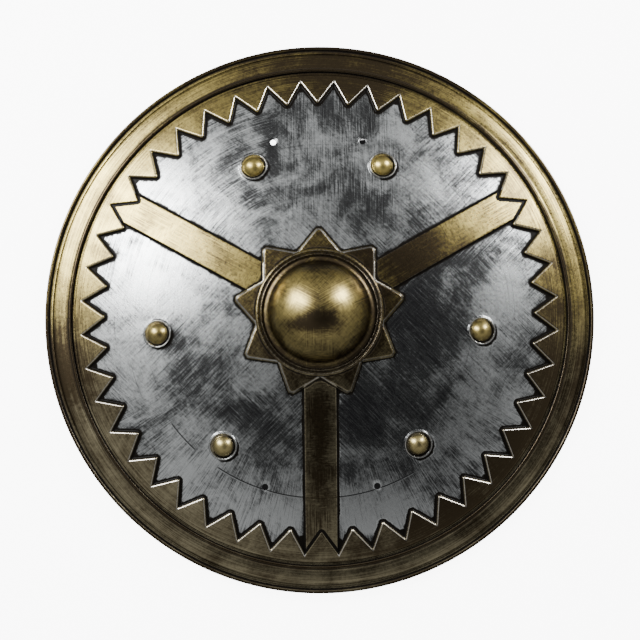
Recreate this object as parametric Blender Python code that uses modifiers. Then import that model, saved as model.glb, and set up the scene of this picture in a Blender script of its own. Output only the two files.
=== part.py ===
"""Round costume shield, moulded in one piece of plastic, lying on its rim with the boss up.

The front is built up first as solid form: a dished plate with its moulded rim, a toothed ring,
three bands, a nine-pointed star plate, a domed boss and six studs. The hollow behind it is then
cut away, which leaves a wall of even thickness, and the four strap holes go through it.

Units are metres and +Z is up. The origin is on the ground under the centre, and +Y is the way up
that the shield is worn.
"""

import math

import bmesh
import bpy
from mathutils import Matrix, Vector

# Rim, from the outside in
SHIELD_RADIUS = 0.250
EDGE_BEAD_WIDTH = 0.0035
OUTER_GROOVE_WIDTH = 0.0040
RIM_BAND_WIDTH = 0.0147
INNER_BEAD_WIDTH = 0.0025
INNER_GROOVE_WIDTH = 0.0033

# Rim heights: the band's inner edge stands this far above the ground, and the rest follows it
RIM_HEIGHT = 0.0120
RIM_BAND_FALL = 0.0035
RIM_BAND_BULGE = 0.0006
GROOVE_DEPTH = 0.0018
EDGE_BEAD_RISE = 0.0014
EDGE_BEAD_START = 135.0
INNER_BEAD_RISE = 0.0011
FOOT_WIDTH = 0.0030
SKIRT_DRAFT = 0.0010

# Dished plate
WALL = 0.0020
DISH_RISE = 0.0360

# Toothed ring
TEETH = 44
TOOTH_DEPTH = 0.0220
TOOTH_ROOT_LAND = 0.0045
TOOTH_RELIEF = 0.0026
TOOTH_SLOPE = 1.2

# Bands from the star plate to the toothed ring, the first of them straight down
BANDS = 3
FIRST_BAND_ANGLE = 270.0
BAND_WIDTH = 0.0277
BAND_RELIEF = 0.0018

# Star plate
STAR_POINTS = 9
STAR_POINT_LENGTH = 0.0170
STAR_ROOT_INSET = 0.0015
STAR_TIP_WIDTH = 0.0024
STAR_RELIEF = 0.0034
STAR_SLOPE = 0.7

# Boss
COLLAR_RADIUS = 0.0570
COLLAR_STEP = 0.0005
OUTER_RIDGE_WIDTH = 0.0037
INNER_RIDGE_WIDTH = 0.0033
OUTER_RIDGE_RISE = 0.0014
INNER_RIDGE_RISE = 0.0022
DOME_HEIGHT = 0.0377
DOME_FILLET = 0.0060

# Studs, two on each panel between the bands, turned this many degrees from the panel's middle
STUD_TURN = 23.5
STUD_INSET = 0.0495
STUD_RING_RADIUS = 0.0130
STUD_RING_WIDTH = 0.0022
STUD_RING_RISE = 0.0013
STUD_GROOVE_WIDTH = 0.0014
STUD_GROOVE_FLOOR = 0.0003
STUD_HEIGHT = 0.0068

# Strap holes
HOLE_DIAMETER = 0.0055
HOLE_INSET = 0.0335
GRIP_HOLE_SPACING = 0.081
FOREARM_HOLE_SPACING = 0.100

# Facets
RIM_STEPS = 2 * TEETH
BOSS_STEPS = 40
HOLLOW_STEPS = 44
STUD_STEPS = 14
DIMPLE_STEPS = 10
HOLE_STEPS = 12
DOME_ARC_STEPS = 5
HOLLOW_ARC_STEPS = 4
FILLET_ARC_STEPS = 2
BEAD_ARC_STEPS = 3
STUD_ARC_STEPS = 3
DIMPLE_ARC_STEPS = 2
PLATE_RING_SPACING = 0.045
HOLLOW_RING_SPACING = 0.045
MERGE_DISTANCE = 0.0000010
SHARP_ANGLE = 30.0

# Length that a cutter or a buried seat runs past the surface that it crosses
OVERRUN = 0.0040

# Radii and heights that follow from the sizes above
BAND_OUTER = SHIELD_RADIUS - EDGE_BEAD_WIDTH - OUTER_GROOVE_WIDTH
BAND_INNER = BAND_OUTER - RIM_BAND_WIDTH
INNER_BEAD_INNER = BAND_INNER - INNER_BEAD_WIDTH
RING_OUTER = INNER_BEAD_INNER - INNER_GROOVE_WIDTH
TOOTH_ROOT = RING_OUTER - TOOTH_ROOT_LAND
TOOTH_TIP = TOOTH_ROOT - TOOTH_DEPTH
OUTER_GROOVE_FLOOR = RIM_HEIGHT - RIM_BAND_FALL - GROOVE_DEPTH
INNER_GROOVE_FLOOR = RIM_HEIGHT - GROOVE_DEPTH
DISH_SPHERE = (RING_OUTER**2 + DISH_RISE**2) / (2.0 * DISH_RISE)
DISH_CENTRE = INNER_GROOVE_FLOOR + DISH_RISE - DISH_SPHERE
STUD_CIRCLE = TOOTH_TIP - STUD_INSET
HOLE_CIRCLE = TOOTH_TIP - HOLE_INSET
BAND_ANGLES = [FIRST_BAND_ANGLE + 360.0 * i / BANDS for i in range(BANDS)]
PANEL_ANGLES = [angle + 180.0 / BANDS for angle in BAND_ANGLES]
STUD_ANGLES = [angle + turn for angle in PANEL_ANGLES for turn in (-STUD_TURN, STUD_TURN)]


def dish_height(radius, offset=0.0):
    """Height of the dished plate's front at a distance from the axis, or of a surface parallel to it."""
    sphere = DISH_SPHERE + offset
    return DISH_CENTRE + math.sqrt(sphere**2 - radius**2)


def dish_points(outer, inner, spacing, offset=0.0):
    """Profile points along the dished plate from one radius to another, evenly spaced."""
    count = max(1, math.ceil(abs(outer - inner) / spacing))
    radii = [outer + (inner - outer) * i / count for i in range(count + 1)]
    return [(radius, dish_height(radius, offset)) for radius in radii]


def arc_points(centre, radius, start, end, count):
    """Points on an arc in the profile plane; angles are in degrees from the outward direction."""
    angles = [math.radians(start + (end - start) * i / count) for i in range(count + 1)]
    return [(centre[0] + radius * math.cos(a), centre[1] + radius * math.sin(a)) for a in angles]


def at_angle(radius, degrees):
    """Plan position at a radius and an angle from +X."""
    angle = math.radians(degrees)
    return radius * math.cos(angle), radius * math.sin(angle)


def new_collection(name, hidden=False):
    """A collection in the scene; a hidden one holds the forms that the solid is made with."""
    collection = bpy.data.collections.new(name)
    collection.hide_render = hidden
    bpy.context.scene.collection.children.link(collection)
    return collection


def add_object(name, mesh, collection):
    """An object in its collection; a form in the hidden collection shows as a wire."""
    obj = bpy.data.objects.new(name, mesh)
    collection.objects.link(obj)
    if collection.hide_render:
        obj.hide_render = True
        obj.display_type = "WIRE"
    return obj


def turned(name, profile, steps, collection):
    """A solid of revolution. Its profile runs down the outer side, and closes if it stays off the axis."""
    points = [(radius, 0.0, height) for radius, height in profile]
    edges = [(i, i + 1) for i in range(len(points) - 1)]
    if profile[0][0] > MERGE_DISTANCE:
        edges.append((len(points) - 1, 0))
    mesh = bpy.data.meshes.new(name)
    mesh.from_pydata(points, edges, [])
    obj = add_object(name, mesh, collection)
    obj.rotation_euler.z = math.pi / steps
    screw = obj.modifiers.new("Turn", "SCREW")
    screw.steps = steps
    screw.render_steps = steps
    screw.use_merge_vertices = True
    screw.merge_threshold = MERGE_DISTANCE
    screw.use_smooth_shade = True
    return obj


def sloped_prism(name, outline, low, high, growth, collection):
    """A flat outline drawn up from one height to another while its points move outward by growth."""
    shape = bmesh.new()
    shape.faces.new([shape.verts.new((x, y, low)) for x, y in outline])
    raised = bmesh.ops.extrude_face_region(shape, geom=shape.faces[:])
    for vert in (v for v in raised["geom"] if isinstance(v, bmesh.types.BMVert)):
        stretch = 1.0 + growth / vert.co.xy.length
        vert.co = Vector((vert.co.x * stretch, vert.co.y * stretch, high))
    bmesh.ops.recalc_face_normals(shape, faces=shape.faces[:])
    mesh = bpy.data.meshes.new(name)
    shape.to_mesh(mesh)
    shape.free()
    return add_object(name, mesh, collection)


def combine(target, operation, form):
    """Adds a Boolean that unites the target with a form, cuts the form out, or keeps what they share."""
    boolean = target.modifiers.new(f"{operation.title()} {form.name}", "BOOLEAN")
    boolean.operation = operation
    boolean.solver = "EXACT"
    boolean.object = form


def plate_profile():
    """The plate's front from its crown to the rim, the rim's mouldings, and the foot, as a solid form."""
    bead_radius = EDGE_BEAD_WIDTH / 2.0
    bead_centre = (SHIELD_RADIUS - bead_radius, OUTER_GROOVE_FLOOR + EDGE_BEAD_RISE - bead_radius)
    inner_bead_mid = (BAND_INNER + INNER_BEAD_INNER) / 2.0
    band_mid = (BAND_OUTER + BAND_INNER) / 2.0
    band_outer_height = RIM_HEIGHT - RIM_BAND_FALL
    bevel = GROOVE_DEPTH / 3.0
    profile = [(0.0, dish_height(0.0))]
    profile += dish_points(PLATE_RING_SPACING, RING_OUTER, PLATE_RING_SPACING)
    profile += [
        (INNER_BEAD_INNER - bevel, INNER_GROOVE_FLOOR),
        (INNER_BEAD_INNER, RIM_HEIGHT),
        (inner_bead_mid, RIM_HEIGHT + INNER_BEAD_RISE),
        (BAND_INNER, RIM_HEIGHT),
        (band_mid, (RIM_HEIGHT + band_outer_height) / 2.0 + RIM_BAND_BULGE),
        (BAND_OUTER, band_outer_height),
        (BAND_OUTER + bevel, OUTER_GROOVE_FLOOR),
        (SHIELD_RADIUS - EDGE_BEAD_WIDTH, OUTER_GROOVE_FLOOR),
    ]
    profile += arc_points(bead_centre, bead_radius, EDGE_BEAD_START, 0.0, BEAD_ARC_STEPS)
    profile += [(SHIELD_RADIUS - SKIRT_DRAFT, 0.0), (0.0, 0.0)]
    return profile


def layer_profile(outer, inner, relief):
    """A layer of one thickness over the dished plate, seated inside the plate's solid form."""
    seat = INNER_GROOVE_FLOOR / 2.0
    return dish_points(inner, outer, PLATE_RING_SPACING, relief) + [(outer, seat), (inner, seat)]


def toothed_ring(forms):
    """The ring round the plate, whose teeth point inward with sloping flanks."""
    profile = layer_profile(RING_OUTER, TOOTH_TIP - OVERRUN, TOOTH_RELIEF)
    ring = turned("toothed_ring", profile, RIM_STEPS, forms)
    low = INNER_GROOVE_FLOOR / 4.0
    high = dish_height(TOOTH_TIP, TOOTH_RELIEF) + OVERRUN
    outline = []
    for i in range(2 * TEETH):
        radius = TOOTH_ROOT if i % 2 else TOOTH_TIP
        edge_height = dish_height(radius, TOOTH_RELIEF)
        radius -= TOOTH_SLOPE * (edge_height - low)
        outline.append(at_angle(radius, 90.0 + 180.0 * i / TEETH))
    inside = sloped_prism("inside_teeth", outline, low, high, TOOTH_SLOPE * (high - low), forms)
    combine(ring, "DIFFERENCE", inside)
    return ring


def bands(forms):
    """The bands, which run from under the star plate to under the toothed ring."""
    profile = layer_profile((RING_OUTER + TOOTH_ROOT) / 2.0, COLLAR_RADIUS / 2.0, BAND_RELIEF)
    layer = turned("bands", profile, RIM_STEPS, forms)
    half = BAND_WIDTH / 2.0
    reach = RING_OUTER + OVERRUN
    corner = half / math.sin(math.pi / BANDS)
    outline = []
    for band_angle, panel_angle in zip(BAND_ANGLES, PANEL_ANGLES):
        along = Vector(at_angle(1.0, band_angle))
        across = Vector((-along.y, along.x))
        outline += [along * reach - across * half, along * reach + across * half]
        outline.append(Vector(at_angle(corner, panel_angle)))
    low = INNER_GROOVE_FLOOR / 4.0
    high = dish_height(0.0, BAND_RELIEF) + OVERRUN
    combine(layer, "INTERSECT", sloped_prism("band_outline", outline, low, high, 0.0, forms))
    return layer


def star_plate(forms):
    """The nine-pointed plate round the boss, with blunt tips and sloping sides."""
    tip = COLLAR_RADIUS + STAR_POINT_LENGTH
    root = COLLAR_RADIUS - STAR_ROOT_INSET
    profile = layer_profile(tip + OVERRUN, COLLAR_RADIUS / 2.0, STAR_RELIEF)
    layer = turned("star_plate", profile, RIM_STEPS, forms)
    low = dish_height(tip) - OVERRUN
    high = dish_height(0.0, STAR_RELIEF) + OVERRUN
    shrink = STAR_SLOPE * (high - low)
    ease = STAR_SLOPE * (dish_height(tip, STAR_RELIEF) - low)
    blunt = math.degrees(STAR_TIP_WIDTH / 2.0 / tip)
    outline = []
    for i in range(STAR_POINTS):
        angle = 90.0 + 360.0 * i / STAR_POINTS
        outline.append(at_angle(tip + ease, angle - blunt))
        outline.append(at_angle(tip + ease, angle + blunt))
        outline.append(at_angle(root + ease, angle + 180.0 / STAR_POINTS))
    combine(layer, "INTERSECT", sloped_prism("star_outline", outline, low, high, -shrink, forms))
    return layer


def boss_base():
    """Height of the floor that the boss's ridges and dome rise from, a step above the star plate."""
    return dish_height(COLLAR_RADIUS, STAR_RELIEF) + COLLAR_STEP


def dome_arcs(wall=0.0):
    """Centre height and radius of the boss's dome, its foot radius, and the angle where the fillet meets it.

    With a wall, the arcs are those of the inner face: the dome shrinks and the fillet grows by it.
    """
    base = boss_base()
    foot = COLLAR_RADIUS - OUTER_RIDGE_WIDTH - INNER_RIDGE_WIDTH
    rise = DOME_HEIGHT - DOME_FILLET
    radius = (foot**2 + rise**2 - DOME_FILLET**2) / (2.0 * DOME_HEIGHT)
    centre = base + DOME_HEIGHT - radius
    meet = math.degrees(math.atan2(base + DOME_FILLET - centre, foot))
    return centre, radius - wall, foot, DOME_FILLET + wall, meet


def boss(forms):
    """The boss: two turned ridges, a hollow fillet and a dome."""
    base = boss_base()
    centre, radius, foot, fillet, meet = dome_arcs()
    inner_ridge_outer = foot + INNER_RIDGE_WIDTH
    outer_ridge_mid = (COLLAR_RADIUS + inner_ridge_outer) / 2.0
    inner_ridge_mid = (inner_ridge_outer + foot) / 2.0
    profile = arc_points((0.0, centre), radius, 90.0, meet, DOME_ARC_STEPS)
    profile += arc_points((foot, base + fillet), fillet, 180.0 + meet, 270.0, FILLET_ARC_STEPS)[1:]
    profile += [
        (inner_ridge_mid, base + INNER_RIDGE_RISE),
        (inner_ridge_outer, base),
        (outer_ridge_mid, base + OUTER_RIDGE_RISE),
        (COLLAR_RADIUS, base),
        (COLLAR_RADIUS, base - STAR_RELIEF - OVERRUN),
        (0.0, base - STAR_RELIEF - OVERRUN),
    ]
    return turned("boss", profile, BOSS_STEPS, forms)


def on_plate(obj, radius, degrees):
    """Seats an upright form on the plate, square to its surface."""
    x, y = at_angle(radius, degrees)
    lean = math.asin(radius / DISH_SPHERE)
    seat = Matrix.Translation((x, y, dish_height(radius)))
    turn = Matrix.Rotation(math.radians(degrees), 4, "Z") @ Matrix.Rotation(lean, 4, "Y")
    obj.matrix_world = seat @ turn


def stud_dome(count, wall=0.0):
    """Profile points of a stud's dome from its top down to the plate, or of its inner face with a wall."""
    edge = STUD_RING_RADIUS - STUD_RING_WIDTH - STUD_GROOVE_WIDTH
    sphere = (edge**2 + STUD_HEIGHT**2) / (2.0 * STUD_HEIGHT)
    centre = STUD_HEIGHT - sphere
    foot = math.degrees(math.asin(-centre / (sphere - wall)))
    return arc_points((0.0, centre), sphere - wall, 90.0, foot, count)


def stud(number, degrees, forms):
    """A stud: a low ring, a groove and a round dome."""
    ring_inner = STUD_RING_RADIUS - STUD_RING_WIDTH
    profile = stud_dome(STUD_ARC_STEPS)
    profile += [
        (ring_inner, STUD_GROOVE_FLOOR),
        ((STUD_RING_RADIUS + ring_inner) / 2.0, STUD_RING_RISE),
        (STUD_RING_RADIUS, 0.0),
        (STUD_RING_RADIUS, -OVERRUN),
        (0.0, -OVERRUN),
    ]
    form = turned(f"stud_{number}", profile, STUD_STEPS, forms)
    on_plate(form, STUD_CIRCLE, degrees)
    return form


def dimple(number, degrees, forms):
    """The hollow behind a stud, which keeps its wall as thin as the plate's."""
    profile = stud_dome(DIMPLE_ARC_STEPS, WALL)
    profile += [(profile[-1][0], -WALL - OVERRUN), (0.0, -WALL - OVERRUN)]
    form = turned(f"dimple_{number}", profile, DIMPLE_STEPS, forms)
    on_plate(form, STUD_CIRCLE, degrees)
    return form


def hollow(forms):
    """The space behind the shield: it follows the front, one wall below it, down through the foot."""
    centre, radius, foot, fillet, meet = dome_arcs(WALL)
    foot_inner = SHIELD_RADIUS - SKIRT_DRAFT - FOOT_WIDTH
    fillet_centre = (foot, boss_base() + DOME_FILLET)
    profile = arc_points((0.0, centre), radius, 90.0, meet, HOLLOW_ARC_STEPS)
    profile += arc_points(fillet_centre, fillet, 180.0 + meet, 270.0, FILLET_ARC_STEPS)[1:]
    profile += dish_points(COLLAR_RADIUS, RING_OUTER, HOLLOW_RING_SPACING, -WALL)
    profile += [
        (INNER_BEAD_INNER, INNER_GROOVE_FLOOR - WALL),
        (BAND_INNER, RIM_HEIGHT - WALL),
        (BAND_OUTER, OUTER_GROOVE_FLOOR - WALL),
        (foot_inner, 0.0),
        (foot_inner, -OVERRUN),
        (0.0, -OVERRUN),
    ]
    return turned("hollow", profile, HOLLOW_STEPS, forms)


def strap_holes(forms):
    """Cutters for the two pairs of strap holes: the hand grip's above, the forearm loop's below."""
    cutters = []
    for spacing, side in ((GRIP_HOLE_SPACING, 1.0), (FOREARM_HOLE_SPACING, -1.0)):
        for x in (-spacing / 2.0, spacing / 2.0):
            shape = bmesh.new()
            bmesh.ops.create_cone(
                shape,
                cap_ends=True,
                segments=HOLE_STEPS,
                radius1=HOLE_DIAMETER / 2.0,
                radius2=HOLE_DIAMETER / 2.0,
                depth=2.0 * dish_height(0.0),
            )
            name = f"strap_hole_{len(cutters) + 1}"
            mesh = bpy.data.meshes.new(name)
            shape.to_mesh(mesh)
            shape.free()
            cutter = add_object(name, mesh, forms)
            cutter.location = (x, side * math.sqrt(HOLE_CIRCLE**2 - x**2), dish_height(0.0))
            cutters.append(cutter)
    return cutters


def bronze_paint():
    """Antique bronze paint over the moulded plastic."""
    material = bpy.data.materials.new("antique_bronze_paint")
    material.use_nodes = True
    shader = material.node_tree.nodes["Principled BSDF"]
    shader.inputs["Base Color"].default_value = (0.16, 0.12, 0.05, 1.0)
    shader.inputs["Metallic"].default_value = 0.8
    shader.inputs["Roughness"].default_value = 0.38
    return material


def made_solid(obj):
    """Turns an object's modifiers into its mesh, welded where cuts meet and smooth between its edges."""
    graph = bpy.context.evaluated_depsgraph_get()
    mesh = bpy.data.meshes.new_from_object(obj.evaluated_get(graph))
    shape = bmesh.new()
    shape.from_mesh(mesh)
    bmesh.ops.remove_doubles(shape, verts=shape.verts[:], dist=MERGE_DISTANCE)
    shape.to_mesh(mesh)
    shape.free()
    obj.modifiers.clear()
    obj.data = mesh
    mesh.shade_smooth()
    mesh.set_sharp_from_angle(angle=math.radians(SHARP_ANGLE))


def build():
    """Makes the shield's one solid."""
    for obj in list(bpy.data.objects):
        bpy.data.objects.remove(obj, do_unlink=True)
    parts = new_collection("round_shield")
    forms = new_collection("forms", hidden=True)

    shell = turned("shield_shell", plate_profile(), RIM_STEPS, parts)
    shell.data.materials.append(bronze_paint())
    for form in (toothed_ring(forms), boss(forms), bands(forms), star_plate(forms)):
        combine(shell, "UNION", form)
    for number, degrees in enumerate(STUD_ANGLES, start=1):
        combine(shell, "UNION", stud(number, degrees, forms))
    combine(shell, "DIFFERENCE", hollow(forms))
    for number, degrees in enumerate(STUD_ANGLES, start=1):
        combine(shell, "DIFFERENCE", dimple(number, degrees, forms))
    for cutter in strap_holes(forms):
        combine(shell, "DIFFERENCE", cutter)
    made_solid(shell)


build()
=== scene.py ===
import math

import bmesh
import bpy
import numpy as np
from mathutils import Matrix, Vector
from mathutils.geometry import delaunay_2d_cdt


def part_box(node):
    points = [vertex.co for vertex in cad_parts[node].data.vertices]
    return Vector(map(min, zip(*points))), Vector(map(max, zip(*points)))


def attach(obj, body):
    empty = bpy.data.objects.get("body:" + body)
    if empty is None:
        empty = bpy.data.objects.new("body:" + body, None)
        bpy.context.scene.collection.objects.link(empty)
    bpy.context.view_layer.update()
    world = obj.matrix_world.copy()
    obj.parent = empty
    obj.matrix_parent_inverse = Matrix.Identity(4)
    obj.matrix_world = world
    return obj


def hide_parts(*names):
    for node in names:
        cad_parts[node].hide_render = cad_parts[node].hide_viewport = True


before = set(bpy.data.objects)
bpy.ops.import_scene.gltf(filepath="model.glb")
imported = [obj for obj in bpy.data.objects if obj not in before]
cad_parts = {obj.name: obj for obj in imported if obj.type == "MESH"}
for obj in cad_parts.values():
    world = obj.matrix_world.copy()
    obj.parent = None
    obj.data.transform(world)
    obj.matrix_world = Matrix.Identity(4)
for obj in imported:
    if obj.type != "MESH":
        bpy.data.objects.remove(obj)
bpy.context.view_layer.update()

BOX_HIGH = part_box("shield_shell")[1]

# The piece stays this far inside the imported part's box
BOX_GAP = 0.00001

# Rim, from the outside in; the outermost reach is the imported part's own
SHIELD_RADIUS = 0.250
EDGE_REACH = BOX_HIGH.x - BOX_GAP
EDGE_BEAD_WIDTH = 0.0035
OUTER_GROOVE_WIDTH = 0.0040
RIM_BAND_WIDTH = 0.0147
INNER_BEAD_WIDTH = 0.0025
INNER_GROOVE_WIDTH = 0.0033
RIM_HEIGHT = 0.0120
RIM_BAND_FALL = 0.0035
RIM_BAND_BULGE = 0.0006
GROOVE_DEPTH = 0.0018
EDGE_BEAD_RISE = 0.0014
INNER_BEAD_RISE = 0.0006
FOOT_WIDTH = 0.0030
SKIRT_DRAFT = 0.0010
STEP_SLANT = 0.0003
INNER_STEP_ROUND = 0.0007
OUTER_GROOVE_ROUND = 0.0006
FOOT_ROUND = 0.0005
RIM_BACK_ROUND = 0.0008

# Dished plate
WALL = 0.0020
DISH_RISE = 0.0360
CORNER_ROUND = 0.0003

# Toothed ring
TEETH = 44
TOOTH_DEPTH = 0.0220
TOOTH_ROOT_LAND = 0.0045
TOOTH_RELIEF = 0.0026
TOOTH_FLANK = 0.0030

# Bands
BANDS = 3
FIRST_BAND_ANGLE = 270.0
BAND_WIDTH = 0.0277
BAND_RELIEF = 0.0018
BAND_FLANK = 0.0010

# Star plate
STAR_POINTS = 9
STAR_POINT_LENGTH = 0.0170
STAR_ROOT_INSET = 0.0015
STAR_TIP_WIDTH = 0.0024
STAR_RELIEF = 0.0034
STAR_FLANK = 0.0022

# Boss
COLLAR_RADIUS = 0.0570
COLLAR_STEP = 0.0005
OUTER_RIDGE_WIDTH = 0.0037
INNER_RIDGE_WIDTH = 0.0033
OUTER_RIDGE_RISE = 0.0014
INNER_RIDGE_RISE = 0.0022
DOME_FILLET = 0.0060
RIDGE_ROUND = 0.0009
COLLAR_EDGE = 0.0008

# Studs
STUD_TURN = 23.5
STUD_INSET = 0.0495
STUD_RING_RADIUS = 0.0130
STUD_RING_WIDTH = 0.0022
STUD_RING_RISE = 0.0013
STUD_GROOVE_WIDTH = 0.0014
STUD_GROOVE_FLOOR = 0.0003
STUD_HEIGHT = 0.0068
STUD_GROOVE_ROUND = 0.0003

# Strap holes
HOLE_DIAMETER = 0.0055
HOLE_LIP = 0.0003
HOLE_INSET = 0.0335
GRIP_HOLE_SPACING = 0.081
FOREARM_HOLE_SPACING = 0.100

# Mesh steps and spacings
RIM_STEPS = 8 * TEETH
BOSS_STEPS = 180
STUD_STEPS = 40
HOLE_STEPS = 20
TOOTH_STEPS = 14
STAR_STEPS = 12
ARC_STEPS = 4
FILL_SPACING = 0.0034
BACK_SPACING = 0.0080
CLEAR = 0.0004
EDGE_CLEAR = 0.0020
BACK_CLEAR = 0.0040
MERGE_DISTANCE = 0.000003

# Distances from each raised edge at which a mesh row follows it
TOOTH_ROWS = [-0.0016, -0.0007, -0.0002, 0.0004, 0.0010, 0.0020, 0.0029, 0.0033, 0.0042]
STAR_ROWS = [-0.0014, -0.0006, -0.0001, 0.0006, 0.0012, 0.0018, 0.0023, 0.0030]
BAND_ROWS = [-0.0012, -0.0004, 0.0000, 0.0004, 0.0008, 0.0012, 0.0020]
BAND_ROW_POINTS = 70

# Radii and heights that follow
BAND_OUTER = SHIELD_RADIUS - EDGE_BEAD_WIDTH - OUTER_GROOVE_WIDTH
BAND_INNER = BAND_OUTER - RIM_BAND_WIDTH
INNER_BEAD_INNER = BAND_INNER - INNER_BEAD_WIDTH
RING_OUTER = INNER_BEAD_INNER - INNER_GROOVE_WIDTH
TOOTH_ROOT = RING_OUTER - TOOTH_ROOT_LAND
TOOTH_TIP = TOOTH_ROOT - TOOTH_DEPTH
OUTER_GROOVE_FLOOR = RIM_HEIGHT - RIM_BAND_FALL - GROOVE_DEPTH
INNER_GROOVE_FLOOR = RIM_HEIGHT - GROOVE_DEPTH
DISH_SPHERE = (RING_OUTER**2 + DISH_RISE**2) / (2.0 * DISH_RISE)
DISH_CENTRE = INNER_GROOVE_FLOOR + DISH_RISE - DISH_SPHERE
RIM_JOIN = RING_OUTER - 0.0020
BACK_JOIN = RING_OUTER - 0.0030
BOSS_JOIN = COLLAR_RADIUS + 0.0002
STUD_JOIN = STUD_RING_RADIUS + 0.0008
DOME_FOOT_RADIUS = COLLAR_RADIUS - OUTER_RIDGE_WIDTH - INNER_RIDGE_WIDTH
STUD_EDGE_RADIUS = STUD_RING_RADIUS - STUD_RING_WIDTH - STUD_GROOVE_WIDTH
STUD_RING_INNER = STUD_RING_RADIUS - STUD_RING_WIDTH
STUD_CIRCLE = TOOTH_TIP - STUD_INSET
HOLE_CIRCLE = TOOTH_TIP - HOLE_INSET
STAR_TIP = COLLAR_RADIUS + STAR_POINT_LENGTH
STAR_ROOT = COLLAR_RADIUS - STAR_ROOT_INSET
BAND_ANGLES = [FIRST_BAND_ANGLE + 360.0 * i / BANDS for i in range(BANDS)]
PANEL_ANGLES = [angle + 180.0 / BANDS for angle in BAND_ANGLES]
STUD_ANGLES = [angle + turn for angle in PANEL_ANGLES for turn in (-STUD_TURN, STUD_TURN)]

# Paint colours
BRONZE = (0.58, 0.46, 0.15, 1.0)
# A darker olive that stands for the bronze in shade: painted shade
SHADED_OLIVE = (0.41, 0.37, 0.26, 1.0)
BROWN_BASE = (0.070, 0.052, 0.030, 1.0)
SILVER = (0.65, 0.67, 0.67, 1.0)
BLACK_BASE = (0.004, 0.004, 0.0045, 1.0)
WASH = (0.006, 0.005, 0.004, 1.0)
LINE = (0.72, 0.69, 0.63, 1.0)
BLACK_PLASTIC = (0.018, 0.018, 0.019, 1.0)
SCUFFED_PLASTIC = (0.045, 0.044, 0.043, 1.0)

# Patches of thinner, darker silver, and of thicker, lighter silver where negative, partly the paint's own
# patchiness and partly painted shade and painted light: middle across and up, reach across and up, how thin;
# thicker if negative
SILVER_PATCHES_AND_PAINTED_LIGHT = [
    (0.068, -0.070, 0.090, 0.080, 0.45),
    (0.100, 0.004, 0.080, 0.070, 0.60),
    (0.115, 0.070, 0.060, 0.050, 0.40),
    (0.018, 0.115, 0.085, 0.050, 0.35),
    (0.027, -0.100, 0.035, 0.065, 0.40),
    (0.020, 0.180, 0.050, 0.035, 0.35),
    (0.050, 0.090, 0.060, 0.035, 0.30),
    (-0.043, 0.146, 0.013, 0.055, 0.40),
    (-0.131, -0.024, 0.017, 0.014, 0.80),
    (-0.068, -0.084, 0.045, 0.035, 0.45),
    (-0.130, 0.024, 0.110, 0.110, -0.25),
    (-0.117, 0.114, 0.070, 0.060, -0.15),
    (0.171, 0.024, 0.035, 0.070, -0.40),
    (-0.045, -0.174, 0.095, 0.042, -0.45),
    (-0.125, -0.130, 0.060, 0.055, -0.35),
    (0.055, -0.172, 0.060, 0.040, -0.45),
]

# Where the bronze is thinner and darker, in the same way: partly the paint's own patchiness and partly
# painted shade, as on the dome, the lowest band and the rim's darker sides
BRONZE_PATCHES_AND_PAINTED_SHADE = [
    (0.003, -0.011, 0.026, 0.016, 0.75),
    (-0.018, -0.013, 0.022, 0.010, 0.50),
    (0.0, 0.040, 0.036, 0.012, 0.40),
    (0.0, -0.095, 0.020, 0.065, 0.60),
    (0.0, -0.150, 0.020, 0.060, 0.40),
    (0.085, 0.049, 0.080, 0.055, 0.55),
    (0.190, -0.110, 0.080, 0.080, 0.20),
    (0.110, -0.190, 0.070, 0.050, 0.15),
    (0.020, 0.225, 0.160, 0.055, 0.62),
    (-0.240, -0.050, 0.060, 0.085, 0.65),
    (0.238, -0.060, 0.040, 0.070, 0.40),
]

# How much darker the bronze is along three circles, and how far from them that fades: painted shade round
# the dome's foot, and on the inner bead and the edge bead partly thinner paint and partly painted shade
DOME_FOOT_SHADE = (0.5, 0.0120)
INNER_BEAD_THIN_AND_SHADE = (0.7, 0.0024)
EDGE_THIN_AND_SHADE = (0.7, 0.0036)

# How much thinner it is on the star, how thin on the studs, and how much thinner and darker on the toothed
# ring all round and further on its shaded side, where the darkening is a painted shade
STAR_THIN = 0.30
STUD_THIN = -0.2
RING_THIN_AND_SHADE = (0.03, 0.45)

# The side on which the wash round each stud is heaviest, partly a painted shadow, and on which the toothed
# ring's bronze is darkest, a painted shade
SHADED_SIDE_ANGLE = math.radians(-40.0)

# Where wash lies across each edge: it starts, is full from here to here, and is gone
TOOTH_WASH = (0.0003, 0.0008, TOOTH_FLANK + 0.0002, TOOTH_FLANK + 0.0012)
TOOTH_WASH_SHIFT = 0.0006
BAND_WASH = (0.0001, 0.0004, BAND_FLANK + 0.0007, BAND_FLANK + 0.0016)
STAR_WASH = (-0.0002, 0.0001, 0.0006, 0.0018)
STUD_GROOVE_WASH = (-0.0003, 0.0001, STUD_GROOVE_WIDTH - 0.0001, STUD_GROOVE_WIDTH + 0.0003)
STUD_RING_WASH = (-0.0006, 0.0, 0.0006, 0.0030)

# Brush strokes and scratches: their length and width
CROSS_STROKE = (0.030, 0.0010)
OUTWARD_STROKE = (0.020, 0.0009)
UPRIGHT_STROKE = (0.026, 0.0008)
CIRCLING_STROKE = (0.034, 0.0011)
FINE_STROKE = (0.009, 0.0006)
CIRCLING_SCRATCH = (0.045, 0.0006)
OUTWARD_SCRATCH = (0.030, 0.0007)
BRONZE_CROSS_STROKE = (0.010, 0.0008)
RIM_STROKE = (0.040, 0.0010)
BAND_STROKE = (0.030, 0.0010)
BAND_HATCH = (0.008, 0.0009)

# The star's worn edges are painted brightest on this side, a painted highlight on the side that faces the
# light
LIT_ANGLE = math.radians(135.0)

# The line left by the mould: its radius, and its arcs in degrees besides the one at upper right
MOULD_LINE_RADIUS = 0.1650
MOULD_LINE_ARCS = [(-144.0, -133.0), (-124.0, -60.0)]

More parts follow.
